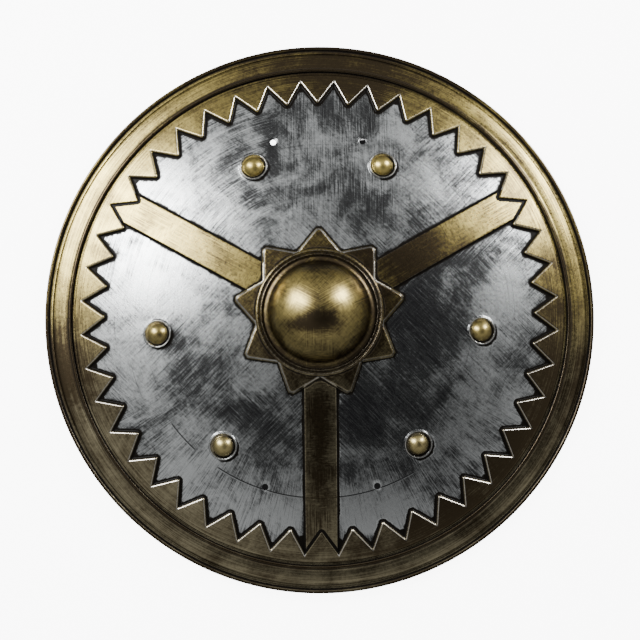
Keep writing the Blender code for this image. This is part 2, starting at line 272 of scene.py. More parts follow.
# The bronze turns to a darker olive, a painted shade, from the first height up the shield to the second
SHADED_OLIVE_FROM = 0.03
SHADED_OLIVE_TO = -0.08

# Roughness, and how far the strokes raise the paint
ROUGHNESS = 0.28
BUMP_STRENGTH = 0.12
BUMP_HEIGHT = 0.0003

# Lights: azimuth and elevation in degrees, width, height, watts
LEFT_LIGHT = (148.0, 37.5, 0.46, 0.90, 26.0)
RIGHT_LIGHT = (37.0, 28.0, 0.32, 0.60, 19.0)
LIGHT_DISTANCE = 1.3

# The room: brightness, the way it is darkest and how dark, and its brightness at the horizon
ROOM_LIGHT = 0.45
DARKEST_WAY = (0.161, -0.141, 0.977)
DARKEST_LIGHT = 0.055
HORIZON_SHARE = 0.45

# The floor's own light, and the part under the shield that has none, a painted shadow of the shield
FLOOR_SIZE = 30.0
FLOOR_DROP = 0.0001
FLOOR_LIGHT = 8.0
SHADE_MIDDLE = (0.060, -0.020, 0.0)
SHADE_RADIUS = 0.184
SHADE_SOFT = 0.004

# Camera
CAMERA_LENS = 92.7
CAMERA_TILT = math.radians(5.0)
CAMERA_ROLL = math.radians(-0.55)
CAMERA_DISTANCE = 1.5
CAMERA_AIM = (0.0004, -0.0034, 0.0064)


def dish_height(radius, offset=0.0):
    """Height of the dished plate at a distance from the axis, or of a surface parallel to it."""
    return DISH_CENTRE + np.sqrt((DISH_SPHERE + offset) ** 2 - np.square(radius))


BOSS_BASE = float(dish_height(COLLAR_RADIUS, STAR_RELIEF)) + COLLAR_STEP
DOME_HEIGHT = BOX_HIGH.z - BOX_GAP - BOSS_BASE


def ramp(distance, width, relief, soft=CORNER_ROUND):
    """Height of a raised edge's flank: relief inside it, nothing past its width, both corners soft."""
    t = np.clip((distance + soft) / (width + 2.0 * soft), 0.0, 1.0)
    steep = np.clip(1.6 * (t - 0.5) + 0.5, 0.0, 1.0)
    return relief * (1.0 - 0.5 * (steep + t * t * (3.0 - 2.0 * t)))


def folded(x, y, first, count):
    """Plan points turned into the first half of a pattern that repeats round the axis."""
    radius = np.hypot(x, y)
    pitch = 2.0 * math.pi / count
    angle = np.arctan2(y, x) - math.radians(first)
    angle = np.abs((angle + pitch / 2.0) % pitch - pitch / 2.0)
    return radius * np.cos(angle), radius * np.sin(angle)


def to_segment(u, v, start, end):
    """Distance to a segment, positive on the side that faces the axis."""
    along = np.subtract(end, start)
    length = math.hypot(*along)
    du, dv = u - start[0], v - start[1]
    share = np.clip((du * along[0] + dv * along[1]) / length**2, 0.0, 1.0)
    gap = np.hypot(du - share * along[0], dv - share * along[1])
    return gap * np.sign(along[0] * dv - along[1] * du)


def tooth_edge(x, y):
    """Signed distance to the edge of the toothed ring, positive on the plate."""
    u, v = folded(x, y, 90.0, TEETH)
    half = math.pi / TEETH
    root = (TOOTH_ROOT * math.cos(half), TOOTH_ROOT * math.sin(half))
    return to_segment(u, v, (TOOTH_TIP, 0.0), root)


def star_edge(x, y):
    """Signed distance to the edge of the star plate, positive outside it."""
    u, v = folded(x, y, 90.0, STAR_POINTS)
    half = math.pi / STAR_POINTS
    root = (STAR_ROOT * math.cos(half), STAR_ROOT * math.sin(half))
    blunt = (STAR_TIP, STAR_TIP_WIDTH / 2.0)
    return np.maximum(-to_segment(u, v, blunt, root), u - STAR_TIP)


def band_edge(x, y):
    """Signed distance to the sides of the nearest band, positive outside it."""
    nearest = np.full(np.shape(x), 1.0)
    for angle in BAND_ANGLES:
        ux, uy = math.cos(math.radians(angle)), math.sin(math.radians(angle))
        across = np.abs(x * uy - y * ux)
        along = x * ux + y * uy
        nearest = np.minimum(nearest, np.where(along > 0.0, across, 1.0))
    return nearest - BAND_WIDTH / 2.0


def front_height(x, y):
    """Height of the front between the boss and the rim."""
    relief = np.maximum(ramp(tooth_edge(x, y), TOOTH_FLANK, TOOTH_RELIEF), 0.0)
    relief = np.maximum(relief, ramp(band_edge(x, y), BAND_FLANK, BAND_RELIEF))
    relief = np.maximum(relief, ramp(star_edge(x, y), STAR_FLANK, STAR_RELIEF))
    return dish_height(np.hypot(x, y), relief)


def arc(centre, radii, start, end, count):
    """Profile points on an arc or ellipse; angles are in degrees from the outward direction."""
    angles = np.radians(np.linspace(start, end, count + 1))
    return [(centre[0] + radii[0] * math.cos(a), centre[1] + radii[1] * math.sin(a)) for a in angles]


def softened(profile, radius):
    """A profile with its corners rounded, each by no more than its shorter side allows."""
    points = [np.array(p) for p in profile]
    smooth = [points[0]]
    for before, corner, after in zip(points, points[1:], points[2:]):
        reach = min(radius, np.linalg.norm(before - corner) / 2.2, np.linalg.norm(after - corner) / 2.2)
        enter = corner + (before - corner) / np.linalg.norm(before - corner) * reach
        leave = corner + (after - corner) / np.linalg.norm(after - corner) * reach
        for t in np.linspace(0.0, 1.0, ARC_STEPS):
            smooth.append((1 - t) ** 2 * enter + 2 * t * (1 - t) * corner + t**2 * leave)
    smooth.append(points[-1])
    return [tuple(p) for p in smooth]


class Skin:
    """Vertices and faces of the piece, gathered patch by patch."""

    def __init__(self):
        self.points = []
        self.faces = []
        self.count = 0
        self.back = []

    def add(self, points, faces, back=False):
        """Adds a patch, of the front or of the back."""
        points = np.asarray(points, float)
        self.points.append(points)
        self.faces += [tuple(self.count + i for i in face) for face in faces]
        self.back += [back] * len(faces)
        self.count += len(points)

    def turned(self, rings, back=False):
        """Joins rings of equal length, each an array of points, by quads; the front's run outwards."""
        steps = len(rings[0])
        faces = []
        for row in range(len(rings) - 1):
            for i in range(steps):
                j = (i + 1) % steps
                face = (row * steps + i, (row + 1) * steps + i, (row + 1) * steps + j, row * steps + j)
                faces.append(face[::-1] if back else face)
        self.add(np.concatenate(rings), faces, back)

    def cap(self, ring, top, back=False):
        """Closes a ring with a fan to one point."""
        steps = len(ring)
        faces = [(steps, i, (i + 1) % steps) for i in range(steps)]
        if back:
            faces = [face[::-1] for face in faces]
        self.add(np.vstack([ring, top]), faces, back)


def circle(radius, steps, height=0.0):
    """A ring of points round the axis."""
    angles = 2.0 * math.pi * np.arange(steps) / steps
    return np.column_stack([radius * np.cos(angles), radius * np.sin(angles), np.full(steps, height)])


def rings_of(profile, steps):
    """One ring for each point of a profile."""
    return [circle(radius, steps, height) for radius, height in profile]


def dome_profile(wall):
    """Profile of the dome and its fillet from the top down to the boss's floor, or of its inner face."""
    foot = DOME_FOOT_RADIUS
    rise = DOME_HEIGHT - DOME_FILLET
    radius = (foot**2 + rise**2 - DOME_FILLET**2) / (2.0 * DOME_HEIGHT)
    centre = BOSS_BASE + DOME_HEIGHT - radius
    meet = math.degrees(math.atan2(BOSS_BASE + DOME_FILLET - centre, foot))
    sphere, fillet = radius - wall, DOME_FILLET + wall
    profile = arc((0.0, centre), (sphere, sphere), 88.0, meet, 26)
    return profile + arc((foot, BOSS_BASE + DOME_FILLET), (fillet, fillet), 180.0 + meet, 270.0, 9)[1:]


def boss(skin):
    """The dome, its fillet, the two ridges and the collar's edge, down to the plate."""
    foot = DOME_FOOT_RADIUS
    inner_mid = foot + INNER_RIDGE_WIDTH / 2.0
    inner_end = foot + INNER_RIDGE_WIDTH
    outer_mid = inner_end + OUTER_RIDGE_WIDTH / 2.0
    ridges = [
        (foot, BOSS_BASE),
        (inner_mid, BOSS_BASE + INNER_RIDGE_RISE),
        (inner_end, BOSS_BASE),
        (outer_mid, BOSS_BASE + OUTER_RIDGE_RISE),
        (COLLAR_RADIUS, BOSS_BASE),
        (COLLAR_RADIUS, BOSS_BASE - COLLAR_EDGE),
    ]
    profile = dome_profile(0.0) + softened(ridges, RIDGE_ROUND)[1:]
    rings = rings_of(profile, BOSS_STEPS)
    last = circle(BOSS_JOIN, BOSS_STEPS)
    last[:, 2] = front_height(last[:, 0], last[:, 1])
    rings[-1][:, 2] = np.maximum(rings[-1][:, 2], last[:, 2] + 0.00005)
    skin.turned(rings + [last])
    skin.cap(rings[0], (0.0, 0.0, BOSS_BASE + DOME_HEIGHT))
    return last


def rim(skin):
    """The mouldings outside the teeth: inner groove and bead, wide band, outer groove, edge bead, foot."""
    bead = EDGE_BEAD_WIDTH / 2.0
    edge_centre = (EDGE_REACH - bead, OUTER_GROOVE_FLOOR + EDGE_BEAD_RISE - bead)
    edge_foot = edge_centre[1] + bead * math.sin(math.radians(140.0))
    inner_mid = (BAND_INNER + INNER_BEAD_INNER) / 2.0
    band = []
    for t in np.linspace(0.0, 1.0, 7):
        bulge = 4.0 * RIM_BAND_BULGE * t * (1.0 - t)
        band.append((BAND_INNER + RIM_BAND_WIDTH * t, RIM_HEIGHT - RIM_BAND_FALL * t + bulge))
    step = softened(
        [
            (RIM_JOIN, float(dish_height(RIM_JOIN, TOOTH_RELIEF))),
            (RING_OUTER, float(dish_height(RING_OUTER, TOOTH_RELIEF))),
            (RING_OUTER + STEP_SLANT, INNER_GROOVE_FLOOR),
            (INNER_BEAD_INNER, INNER_GROOVE_FLOOR),
            (INNER_BEAD_INNER, RIM_HEIGHT),
        ],
        INNER_STEP_ROUND,
    )
    inner_bead = arc((inner_mid, RIM_HEIGHT), (INNER_BEAD_WIDTH / 2.0, INNER_BEAD_RISE), 180.0, 0.0, 8)[1:-1]
    groove = softened(
        [
            band[-1],
            (BAND_OUTER + STEP_SLANT, OUTER_GROOVE_FLOOR),
            (SHIELD_RADIUS - EDGE_BEAD_WIDTH, OUTER_GROOVE_FLOOR),
            (SHIELD_RADIUS - EDGE_BEAD_WIDTH + STEP_SLANT, edge_foot),
        ],
        OUTER_GROOVE_ROUND,
    )
    edge = arc(edge_centre, (bead, bead), 128.0, 0.0, 9)
    foot_outer = SHIELD_RADIUS - SKIRT_DRAFT
    foot = softened([edge[-1], (foot_outer, 0.0), (foot_outer - FOOT_WIDTH, 0.0)], FOOT_ROUND)
    profile = step + inner_bead + softened(band, 0.0) + groove[1:] + edge + foot[1:]
    rings = rings_of(profile, RIM_STEPS)
    skin.turned(rings)
    return rings[0], rings[-1]


def stud_frame(degrees):
    """Where a stud stands: on the plate and square to it."""
    angle = math.radians(degrees)
    lean = math.asin(STUD_CIRCLE / DISH_SPHERE)
    seat = Vector((STUD_CIRCLE * math.cos(angle), STUD_CIRCLE * math.sin(angle), dish_height(STUD_CIRCLE)))
    return Matrix.Translation(seat) @ Matrix.Rotation(angle, 4, "Z") @ Matrix.Rotation(lean, 4, "Y")


def placed(points, matrix):
    """Points moved by a matrix."""
    return points @ np.array(matrix.to_3x3()).T + np.array(matrix.translation)


def sag(radius, offset=0.0):
    """Depth of the plate below its tangent plane, at a distance from where that touches it."""
    sphere = DISH_SPHERE + offset
    return math.sqrt(sphere**2 - radius**2) - DISH_SPHERE


def stud(skin, degrees):
    """A stud's dome, groove and ring, down to the plate."""
    edge = STUD_EDGE_RADIUS
    sphere = (edge**2 + STUD_HEIGHT**2) / (2.0 * STUD_HEIGHT)
    centre = STUD_HEIGHT - sphere
    foot = math.degrees(math.asin(-centre / sphere))
    dome = arc((0.0, centre), (sphere, sphere), 84.0, foot, 12)
    ring_mid = (STUD_RING_RADIUS + STUD_RING_INNER) / 2.0
    ring = arc((ring_mid, 0.0), (STUD_RING_WIDTH / 2.0, STUD_RING_RISE), 172.0, 0.0, 8)
    floor = [(edge, STUD_GROOVE_FLOOR), (STUD_RING_INNER, STUD_GROOVE_FLOOR)]
    groove = softened([dome[-1], *floor, ring[0]], STUD_GROOVE_ROUND)
    profile = dome[:-1] + groove + ring[1:] + [(STUD_JOIN, sag(STUD_JOIN))]
    matrix = stud_frame(degrees)
    rings = [placed(ring, matrix) for ring in rings_of(profile, STUD_STEPS)]
    skin.turned(rings)
    skin.cap(rings[0], placed(np.array([[0.0, 0.0, STUD_HEIGHT]]), matrix)[0])
    return rings[-1]


def dimple(skin, degrees):
    """The hollow behind a stud."""
    edge = STUD_EDGE_RADIUS
    sphere = (edge**2 + STUD_HEIGHT**2) / (2.0 * STUD_HEIGHT)
    centre = STUD_HEIGHT - sphere
    inner = sphere - WALL
    foot = math.degrees(math.asin((-centre - WALL) / inner))
    profile = arc((0.0, centre), (inner, inner), 84.0, foot, 8)
    profile.append((profile[-1][0] + 0.0004, sag(profile[-1][0] + 0.0004, -WALL)))
    matrix = stud_frame(degrees)
    rings = [placed(ring, matrix) for ring in rings_of(profile, STUD_STEPS)]
    skin.turned(rings, back=True)
    skin.cap(rings[0], placed(np.array([[0.0, 0.0, STUD_HEIGHT - WALL]]), matrix)[0], back=True)
    return rings[-1]


def hole_places():
    """Plan positions of the four strap holes."""
    places = []
    for spacing, side in ((GRIP_HOLE_SPACING, 1.0), (FOREARM_HOLE_SPACING, -1.0)):
        for x in (-spacing / 2.0, spacing / 2.0):
            places.append((x, side * math.sqrt(HOLE_CIRCLE**2 - x**2)))
    return places


def strap_hole(skin, place):
    """The wall of a strap hole, rounded at its front edge. Gives its front and back rings."""
    bore = circle(HOLE_DIAMETER / 2.0, HOLE_STEPS)
    lip = circle(HOLE_DIAMETER / 2.0 + HOLE_LIP, HOLE_STEPS)
    rings = []
    for ring, drop, offset in ((lip, 0.0, 0.0), (bore, HOLE_LIP, 0.0), (bore, 0.0, -WALL)):
        at = ring + np.array([place[0], place[1], 0.0])
        at[:, 2] = dish_height(np.hypot(at[:, 0], at[:, 1]), offset) - drop
        rings.append(at)
    skin.turned(rings, back=True)
    return rings[0], rings[-1]


def rows_round(edge, first, count, steps, offsets, low, high):
    """Rows of plan points that follow a pattern's edge at given distances from it."""
    half = math.pi / count
    angles = math.radians(first) + half / steps * np.arange(2 * steps * count)
    rows = []
    for offset in offsets:
        inner, outer = np.full(len(angles), low), np.full(len(angles), high)
        sign = 1.0 if edge(high, 0.0) > edge(low, 0.0) else -1.0
        for _ in range(40):
            middle = (inner + outer) / 2.0
            value = edge(middle * np.cos(angles), middle * np.sin(angles))
            past = sign * (value - offset) > 0.0
            outer = np.where(past, middle, outer)
            inner = np.where(past, inner, middle)
        rows.append(np.column_stack([inner * np.cos(angles), inner * np.sin(angles)]))
    return rows


class Plan:
    """Points and edges of a plan that is filled with triangles."""

    def __init__(self):
        self.points = []
        self.edges = []
        self.holes = []

    def line(self, points, closed, keep=None):
        """Adds a chain of points; where keep is false the chain is broken."""
        start = len(self.points)
        number = {}
        for i, point in enumerate(points):
            if keep is None or keep[i]:
                number[i] = start + len(number)
                self.points.append((float(point[0]), float(point[1])))
        last = len(points) if closed else len(points) - 1
        for i in range(last):
            j = (i + 1) % len(points)
            if i in number and j in number:
                self.edges.append((number[i], number[j]))
        return set(number.values())

    def hole(self, ring):
        """A convex ring that stays open."""
        self.holes.append(self.line(ring, True))

    def triangles(self):
        """The filled plan: its points, and its triangles outside the holes."""
        vectors = [Vector(point) for point in self.points]
        points, _, faces, origins, _, _ = delaunay_2d_cdt(vectors, self.edges, [], 0, 1e-8, True)
        member = []
        for found in origins:
            member.append({n for n, hole in enumerate(self.holes) if any(i in hole for i in found)})
        kept = []
        for face in faces:
            if not member[face[0]] & member[face[1]] & member[face[2]]:
                kept.append(face)
        return np.array([tuple(p) for p in points]), kept


def fill_points(low, high, spacing, circles):
    """Points on staggered rings, kept clear of the given circles."""
    points = []
    count = round((high - low) / spacing)
    for n in range(1, count):
        radius = low + (high - low) * n / count
        steps = round(2.0 * math.pi * radius / spacing)
        angles = 2.0 * math.pi * (np.arange(steps) + 0.5 * (n % 2)) / steps
        points.append(np.column_stack([radius * np.cos(angles), radius * np.sin(angles)]))
    points = np.concatenate(points)
    for x, y, reach in circles:
        points = points[np.hypot(points[:, 0] - x, points[:, 1] - y) > reach]
    return points


def front_plate(skin, inner_ring, outer_ring, stud_rings, hole_rings):
    """The front between boss and rim, with mesh rows along every raised edge."""
    plan = Plan()
    plan.hole(inner_ring)
    plan.line(outer_ring, True)
    for ring in stud_rings + hole_rings:
        plan.hole(ring)

    reach = (TOOTH_TIP - 0.02, RING_OUTER + 0.01)
    for row in rows_round(tooth_edge, 90.0, TEETH, TOOTH_STEPS, TOOTH_ROWS, *reach):
        radius = np.hypot(row[:, 0], row[:, 1])
        plan.line(row, True, radius < RIM_JOIN - CLEAR)

    reach = (COLLAR_RADIUS * 0.6, STAR_TIP + 0.01)
    for row in rows_round(star_edge, 90.0, STAR_POINTS, STAR_STEPS, STAR_ROWS, *reach):
        radius = np.hypot(row[:, 0], row[:, 1])
        plan.line(row, True, radius > BOSS_JOIN + CLEAR)

    for angle in BAND_ANGLES:
        along = np.array([math.cos(math.radians(angle)), math.sin(math.radians(angle))])
        across = np.array([-along[1], along[0]])
        for offset in BAND_ROWS:
            for side in (-1.0, 1.0):
                reach = BAND_WIDTH / 2.0 + offset
                start = math.sqrt((BOSS_JOIN + CLEAR) ** 2 - reach**2)
                end = math.sqrt((RIM_JOIN - CLEAR) ** 2 - reach**2)
                steps = np.linspace(start, end, BAND_ROW_POINTS)
                plan.line(steps[:, None] * along + side * reach * across, False)

    circles = [(*ring[:, :2].mean(0), STUD_JOIN + FILL_SPACING / 2.0) for ring in stud_rings]
    circles += [(*ring[:, :2].mean(0), HOLE_DIAMETER / 2.0 + FILL_SPACING / 2.0) for ring in hole_rings]
    fill = fill_points(BOSS_JOIN, RIM_JOIN, FILL_SPACING, circles)
    near = np.zeros(len(fill), bool)
    for edge, flank in ((tooth_edge, TOOTH_FLANK), (star_edge, STAR_FLANK), (band_edge, BAND_FLANK)):
        past = np.abs(edge(fill[:, 0], fill[:, 1]) - flank / 2.0)
        near |= past < flank / 2.0 + EDGE_CLEAR
    for point in fill[~near]:
        plan.points.append((float(point[0]), float(point[1])))

    points, faces = plan.triangles()
    heights = front_height(points[:, 0], points[:, 1])
    for ring in [inner_ring, outer_ring] + stud_rings + hole_rings:
        settle(points, heights, ring)
    skin.add(np.column_stack([points, heights]), faces)


def settle(points, heights, ring):
    """Gives the filled plan's points on a shared ring that ring's own heights."""
    for x, y, z in ring:
        nearest = np.argmin(np.hypot(points[:, 0] - x, points[:, 1] - y))
        points[nearest] = (x, y)
        heights[nearest] = z


def back_plate(skin, foot_ring, dimple_rings, hole_rings):
    """The back: the hollow rim, the plate's back with its dimples and holes, and the inside of the boss."""
    rim_back = softened(
        [
            (SHIELD_RADIUS - SKIRT_DRAFT - FOOT_WIDTH, 0.0),
            (BAND_OUTER, OUTER_GROOVE_FLOOR - WALL),
            (BAND_INNER, RIM_HEIGHT - WALL),
            (INNER_BEAD_INNER, INNER_GROOVE_FLOOR - WALL),
            (RING_OUTER, float(dish_height(RING_OUTER, -WALL))),
            (BACK_JOIN, float(dish_height(BACK_JOIN, -WALL))),
        ],
        RIM_BACK_ROUND,
    )
    rim_rings = rings_of(rim_back, RIM_STEPS)
    rim_rings[0] = foot_ring
    skin.turned(rim_rings, back=True)
    dome = dome_profile(WALL) + [(COLLAR_RADIUS, float(dish_height(COLLAR_RADIUS, -WALL)))]
    dome_rings = rings_of(dome, BOSS_STEPS)
    skin.turned(dome_rings, back=True)
    skin.cap(dome_rings[0], (0.0, 0.0, BOSS_BASE + DOME_HEIGHT - WALL), back=True)

    plan = Plan()
    plan.hole(dome_rings[-1])
    plan.line(rim_rings[-1], True)
    for ring in dimple_rings + hole_rings:
        plan.hole(ring)
    circles = []
    for ring in dimple_rings + hole_rings:
        middle = ring[:, :2].mean(0)
        circles.append((*middle, np.hypot(*(ring[0, :2] - middle)) + BACK_CLEAR))
    for point in fill_points(COLLAR_RADIUS, BACK_JOIN, BACK_SPACING, circles):
        plan.points.append((float(point[0]), float(point[1])))
    points, faces = plan.triangles()
    heights = dish_height(np.hypot(points[:, 0], points[:, 1]), -WALL)
    for ring in [dome_rings[-1], rim_rings[-1]] + dimple_rings + hole_rings:
        settle(points, heights, ring)
    skin.add(np.column_stack([points, heights]), [face[::-1] for face in faces], back=True)


def shield_mesh():
    """The shield's front and back as one closed mesh."""
    skin = Skin()
    inner_ring = boss(skin)
    outer_ring, foot_ring = rim(skin)
    stud_rings = [stud(skin, degrees) for degrees in STUD_ANGLES]
    dimple_rings = [dimple(skin, degrees) for degrees in STUD_ANGLES]
    hole_rings = [strap_hole(skin, place) for place in hole_places()]
    front_plate(skin, inner_ring, outer_ring, stud_rings, [front for front, _ in hole_rings])
    back_plate(skin, foot_ring, dimple_rings, [back for _, back in hole_rings])

    mesh = bpy.data.meshes.new("shield")
    mesh.from_pydata([tuple(p) for p in np.concatenate(skin.points)], [], skin.faces)
    mesh.polygons.foreach_set("material_index", np.array(skin.back, np.int32))
    shape = bmesh.new()
    shape.from_mesh(mesh)
    bmesh.ops.remove_doubles(shape, verts=shape.verts[:], dist=MERGE_DISTANCE)
    bmesh.ops.recalc_face_normals(shape, faces=shape.faces[:])
    shape.to_mesh(mesh)
    shape.free()
    mesh.shade_smooth()
    places = np.zeros(3 * len(mesh.vertices), np.float32)
    mesh.vertices.foreach_get("co", places)
    for name, values in paint_marks(places.reshape(-1, 3).astype(float)).items():
        layer = mesh.attributes.new(name, "FLOAT", "POINT")
        layer.data.foreach_set("value", values.astype(np.float32))
    return mesh


def bump_at(value, middle, reach):
    """One at a value, falling to nothing at a reach on both sides of it."""
    return np.clip(1.0 - np.abs(value - middle) / reach, 0.0, 1.0)


def shelf(value, start, full, end, gone):
    """Nothing before start, one from full to end, and nothing again past gone."""
    return np.interp(value, [start, full, end, gone], [0.0, 1.0, 1.0, 0.0], left=0.0, right=0.0)


def spots(x, y, table):
    """The sum of soft oval spots, each given as its middle, its reach across and up, and its strength."""
    total = np.zeros(len(x))
    for middle_x, middle_y, reach_x, reach_y, strength in table:
        far = np.clip(np.hypot((x - middle_x) / reach_x, (y - middle_y) / reach_y), 0.0, 1.0)
        total += strength * (0.5 + 0.5 * np.cos(np.pi * far))
    return total


def recesses(radius, teeth, bands, star, axis, lean):
    """Where black wash lies: the feet of the raised edges, the stud grooves and the rim's grooves; round
    each stud it is heavier on the shaded side, a painted shadow.
    """
    bead_foot = SHIELD_RADIUS - EDGE_BEAD_WIDTH
    shift = np.where(bands > 0.0, TOOTH_WASH_SHIFT, 0.0)
    wash = shelf(teeth - shift, *TOOTH_WASH)
    wash = np.maximum(wash, np.where(teeth > 0.0, shelf(bands, *BAND_WASH), 0.0))
    wash = np.maximum(wash, 0.8 * shelf(star - STAR_FLANK, *STAR_WASH))
    wash = np.where(star - STAR_FLANK < STAR_WASH[0], 0.0, wash)
    # Round each stud the wash is heavier towards the shaded side: a painted shadow
    groove = shelf(axis - STUD_EDGE_RADIUS, *STUD_GROOVE_WASH)
    wash = np.maximum(wash, (0.65 + 0.35 * lean) * groove)
    outside = shelf(axis - STUD_RING_RADIUS, *STUD_RING_WASH)
    wash = np.maximum(wash, np.clip(0.25 + 0.65 * lean, 0.0, 1.0) * outside)
    grooves = [
        (DOME_FOOT_RADIUS, 0.0009, 0.7),
        (DOME_FOOT_RADIUS + INNER_RIDGE_WIDTH, 0.0008, 0.9),
        (COLLAR_RADIUS + 0.0001, 0.0006, 0.8),
        (BAND_INNER, 0.0006, 0.6),
        (INNER_BEAD_INNER - 0.0004, 0.0015, 0.80),
        (bead_foot - 0.0004, 0.0022, 0.85),
        (EDGE_REACH, 0.0011, 0.9),
    ]
    for middle, reach, strength in grooves:
        wash = np.maximum(wash, strength * bump_at(radius, middle, reach))
    return wash


def worn_and_highlit_lines(radius, turn, teeth, bands, star, axis):
    """Where the paint is rubbed bright: star flanks, teeth, stud rings and the boss's ridges; the star's
    flanks brightest on one side, a painted highlight.
    """
    # Painted highlight: the star's flanks are brighter towards the lit side
    lit = 0.75 + 0.25 * np.cos(turn - LIT_ANGLE)
    bright = lit * shelf(star, -0.0003, 0.0002, STAR_FLANK - 0.0009, STAR_FLANK - 0.0003)
    bright = np.maximum(bright, 0.7 * np.where(bands > 0.0, bump_at(teeth, 0.0004, 0.0009), 0.0))
    clear = (star > STAR_FLANK) & (teeth > TOOTH_FLANK)
    bright = np.maximum(bright, 0.4 * np.where(clear, bump_at(bands, 0.0, 0.0006), 0.0))
    bright = np.where(radius < COLLAR_RADIUS, 0.0, bright)
    bright = np.maximum(bright, 0.6 * bump_at(axis, STUD_RING_RADIUS - STUD_RING_WIDTH / 2.0, 0.0010))
    bright = np.maximum(bright, 0.45 * bump_at(radius, DOME_FOOT_RADIUS + INNER_RIDGE_WIDTH / 2.0, 0.0010))
    return np.maximum(bright, 0.5 * bump_at(radius, COLLAR_RADIUS - OUTER_RIDGE_WIDTH / 2.0, 0.0012))


def paint_marks(points):
    """What the paint follows at each vertex, as values that the material reads by name."""
    x, y = points[:, 0], points[:, 1]
    radius = np.hypot(x, y)
    teeth, bands, star = tooth_edge(x, y), band_edge(x, y), star_edge(x, y)
    axis = np.full(len(points), 1.0)
    # lean: how far a vertex lies towards the shaded side of its nearest stud, for the painted shadow round
    # it
    lean = np.zeros(len(points))
    for degrees in STUD_ANGLES:
        frame_here = stud_frame(degrees)
        local = placed(points, frame_here.inverted())
        away = np.hypot(local[:, 0], local[:, 1])
        middle = frame_here.translation
        to_right = (x - middle.x) * math.cos(SHADED_SIDE_ANGLE) + (y - middle.y) * math.sin(SHADED_SIDE_ANGLE)
        lean = np.where(away < axis, to_right / np.maximum(away, 0.001), lean)
        axis = np.minimum(axis, away)

    silver = np.minimum(teeth - TOOTH_FLANK, bands - BAND_FLANK)
    silver = np.minimum(silver, star - STAR_FLANK)
    silver = np.minimum(silver, axis - STUD_RING_INNER)
    silver = np.where(radius < COLLAR_RADIUS, -0.01, silver)
    along, across = band_place(x, y)
    # How thin and dark the bronze is here: partly thinner paint and partly painted shade
    bronze_thin_and_shade = spots(x, y, BRONZE_PATCHES_AND_PAINTED_SHADE)
    inner_bead = (BAND_INNER + INNER_BEAD_INNER) / 2.0
    # Painted shade round the dome's foot; on the two beads partly thinner paint and partly painted shade
    circles = [(DOME_FOOT_RADIUS, DOME_FOOT_SHADE), (inner_bead, INNER_BEAD_THIN_AND_SHADE), (EDGE_REACH, EDGE_THIN_AND_SHADE)]
    for middle, (strength, reach) in circles:
        bronze_thin_and_shade += strength * bump_at(radius, middle, reach)
    bronze_thin_and_shade += np.where((star < 0.0) & (radius > COLLAR_RADIUS), STAR_THIN, 0.0)
    # The toothed ring's bronze is darker towards its shaded side: painted shade
    on_ring = (teeth < 0.0) & (radius < RING_OUTER)
    toward_shade = np.clip(np.cos(np.arctan2(y, x) - SHADED_SIDE_ANGLE), 0.0, 1.0) ** 2
    bronze_thin_and_shade += np.where(on_ring, RING_THIN_AND_SHADE[0] + RING_THIN_AND_SHADE[1] * toward_shade, 0.0)
    on_stud = STUD_EDGE_RADIUS - axis
    bronze_thin_and_shade = np.where(on_stud > 0.0, STUD_THIN, bronze_thin_and_shade)
    return {
        "silver": silver,
        "recess": recesses(radius, teeth, bands, star, axis, lean),
        "crest": worn_and_highlit_lines(radius, np.arctan2(y, x), teeth, bands, star, axis),
        # How thin the paint is here: partly its own patchiness and partly painted shade and painted light
        "thin_and_painted_shade": np.where(silver > 0.0, spots(x, y, SILVER_PATCHES_AND_PAINTED_LIGHT), bronze_thin_and_shade),
        "knob": np.clip(np.maximum(on_stud, DOME_FOOT_RADIUS - radius) / 0.001, 0.0, 1.0),
        "band": np.where(teeth > 0.0, np.clip(-bands / 0.002, 0.0, 1.0), 0.0),
        "band_along": along,
        "band_across": across,
    }


def band_place(x, y):
    """Distance along the nearest band from the axis, and distance across it."""
    along = np.full(len(x), -1.0)
    across = np.zeros(len(x))
    for angle in BAND_ANGLES:
        ux, uy = math.cos(math.radians(angle)), math.sin(math.radians(angle))
        further = x * ux + y * uy
        across = np.where(further > along, y * ux - x * uy, across)
        along = np.maximum(along, further)
    return along, across


